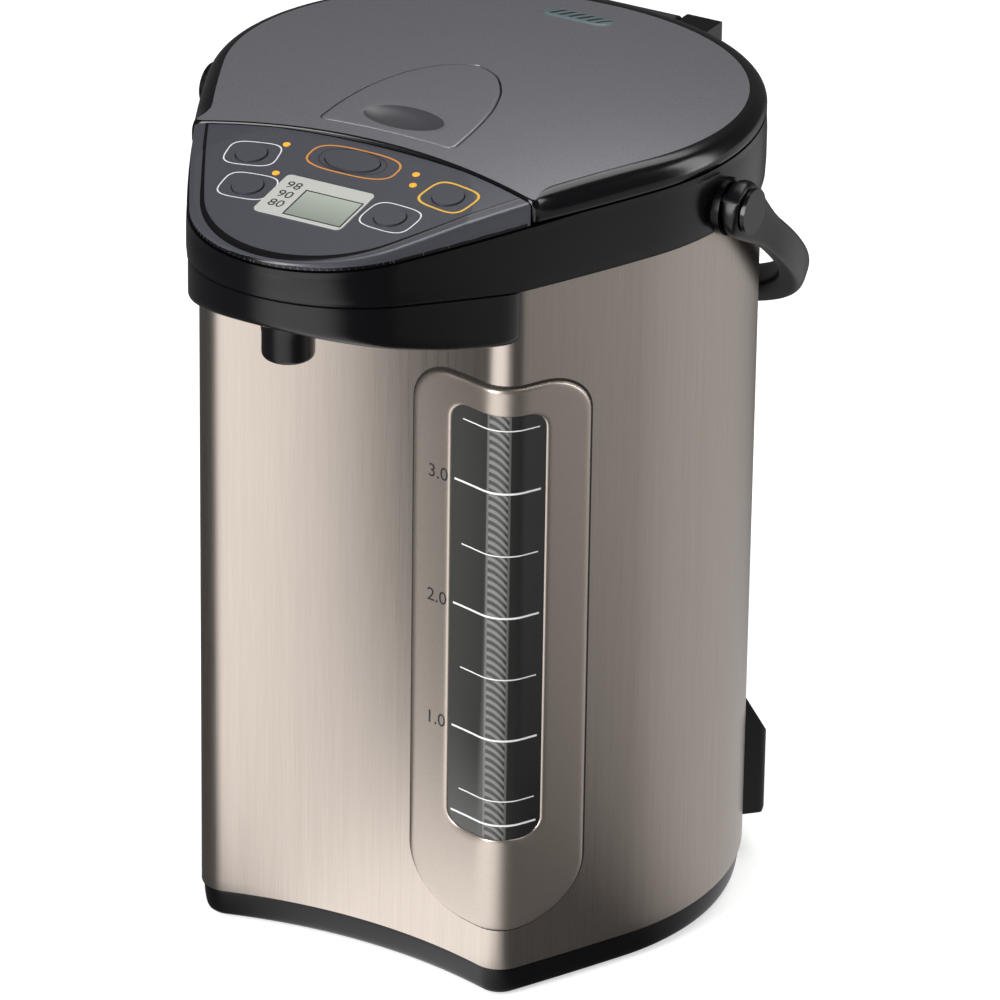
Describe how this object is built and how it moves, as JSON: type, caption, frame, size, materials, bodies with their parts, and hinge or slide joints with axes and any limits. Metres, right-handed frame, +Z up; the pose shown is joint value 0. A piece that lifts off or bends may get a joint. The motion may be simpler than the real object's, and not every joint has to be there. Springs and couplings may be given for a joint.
{
  "type": "electric thermo pot",
  "caption": "Upright hot-water dispenser with a steel body, a beak spout, a tilted control panel, a hinged crowned lid, a water gauge and a swinging carrying handle.",
  "frame": {"origin": "axis of the round rear half of the body, on the table plane under the feet", "axes": "+Z up, -Y towards the spout and control panel, +X to the side with the water gauge"},
  "size_m": [0.215, 0.2647, 0.3085],
  "materials": {
    "steel_brushed": "fine vertical brushing, champagne tint",
    "champagne_satin": "satin champagne lacquer",
    "steel_plain": "plain stainless sheet",
    "pin_steel": "polished pin and screw steel",
    "black_gloss": "glossy black moulding",
    "black_matte": "matte black moulding",
    "lid_metallic": "satin metallic grey",
    "panel_grey": "satin dark grey panel",
    "button_grey": "satin grey button",
    "smoked_glass": "smoked clear window",
    "clear_tube": "clear tube",
    "lcd_grey": "display window",
    "lamp_clear": "lamp lens",
    "striped_backing": "dark backing",
    "silicone": "soft silicone",
    "rubber_foot": "rubber foot",
    "aluminium_cast": "cast heater plate",
    "board_green": "circuit board",
    "white_plastic": "white moulding",
    "vent_teal": "grey-teal moulding",
    "copper_can": "motor can"
  },
  "bodies": {
    "pot": {"base_cover": "black_matte", "base_feet": "rubber_foot", "base_screws": "pin_steel", "base_skirt": "black_matte", "beak_shell": "black_gloss", "collar": "black_gloss", "control_board": "board_green", "control_panel": "panel_grey", "feed_pipe": "silicone", "gauge_backing": "striped_backing", "gauge_tube": "clear_tube", "gauge_window": "smoked_glass", "handle_pivots": "pin_steel", "heater_plate": "aluminium_cast", "hinge_housing": "black_gloss", "hinge_pin": "pin_steel", "indicator_lights": "lamp_clear", "lcd_module": "black_matte", "lcd_window": "lcd_grey", "mouth_ring": "black_matte", "mouth_screws": "pin_steel", "outer_shell": "steel_brushed", "outlet_hose": "silicone", "outlet_pipe": "silicone", "pivot_caps": "black_gloss", "power_board": "board_green", "pump_housing": "white_plastic", "pump_motor": "copper_can", "riser_pipe": "silicone", "socket_housing": "black_gloss", "socket_magnet": "pin_steel", "socket_pins": "pin_steel", "spout_nozzle": "black_gloss", "thermostat": "white_plastic", "vessel_gasket": "silicone", "vessel_jacket": "steel_plain", "vessel_liner": "steel_plain", "window_bezel": "champagne_satin"},
    "lid": {"lid_cover": "lid_metallic", "lid_base": "black_matte", "lid_plug": "steel_plain", "lid_gasket": "silicone", "steam_vent": "vent_teal", "steam_duct": "white_plastic", "lever_pin": "pin_steel", "lid_screws": "pin_steel"},
    "lid_lever": {"lid_lever": "lid_metallic"},
    "latch": {"latch_slide": "white_plastic", "latch_spring": "pin_steel"},
    "dispense_button": {"dispense_button": "button_grey"},
    "reboil_button": {"reboil_button": "button_grey"},
    "temperature_button": {"temperature_button": "button_grey"},
    "unlock_button": {"unlock_button": "button_grey"},
    "timer_button": {"timer_button": "button_grey"},
    "handle": {"handle": "black_gloss"},
    "motor_rotor": {"motor_rotor": "pin_steel"},
    "pump_impeller": {"pump_impeller": "white_plastic"}
  },
  "joints": [
    {"name": "lid_hinge", "type": "hinge", "parent": "pot", "child": "lid", "pos_m": [0, 0.101, 0.2886], "axis": [-1, 0, 0], "range_deg": [0, 75]},
    {"name": "lid_lever_tilt", "type": "hinge", "parent": "lid", "child": "lid_lever", "pos_m": [0, -0.047, 0.303], "axis": [1, 0, 0], "range_deg": [0, 12]},
    {"name": "latch_travel", "type": "slide", "parent": "lid", "child": "latch", "axis": [0, 1, 0], "range_m": [0, 0.0045], "deforming": ["latch_spring"]},
    {"name": "handle_swing", "type": "hinge", "parent": "pot", "child": "handle", "pos_m": [0, -0.005, 0.278], "axis": [1, 0, 0], "range_deg": [0, 150]},
    {"name": "motor_spin", "type": "hinge", "parent": "pot", "child": "motor_rotor", "pos_m": [0.036, -0.046, 0.02], "axis": [0, 0, 1], "continuous": true},
    {"name": "impeller_spin", "type": "hinge", "parent": "pot", "child": "pump_impeller", "pos_m": [0.036, -0.046, 0.035], "axis": [0, 0, 1], "continuous": true},
    {"name": "dispense_press", "type": "slide", "parent": "pot", "child": "dispense_button", "axis": [0, 0.1609, -0.987], "range_m": [0, 0.0008], "stiffness_N_per_m": 600, "springref_m": -0.0008},
    {"name": "reboil_press", "type": "slide", "parent": "pot", "child": "reboil_button", "axis": [0, 0.1609, -0.987], "range_m": [0, 0.0008], "stiffness_N_per_m": 600, "springref_m": -0.0008},
    {"name": "temperature_press", "type": "slide", "parent": "pot", "child": "temperature_button", "axis": [0, 0.1609, -0.987], "range_m": [0, 0.0008], "stiffness_N_per_m": 600, "springref_m": -0.0008},
    {"name": "unlock_press", "type": "slide", "parent": "pot", "child": "unlock_button", "axis": [0, 0.1609, -0.987], "range_m": [0, 0.0008], "stiffness_N_per_m": 600, "springref_m": -0.0008},
    {"name": "timer_press", "type": "slide", "parent": "pot", "child": "timer_button", "axis": [0, 0.1609, -0.987], "range_m": [0, 0.0008], "stiffness_N_per_m": 600, "springref_m": -0.0008}
  ],
  "couplings": [
    {"joint": "latch_travel", "follows": "lid_lever_tilt", "m_per_rad": 0.021486},
    {"joint": "impeller_spin", "follows": "motor_spin", "ratio": 1}
  ]
}
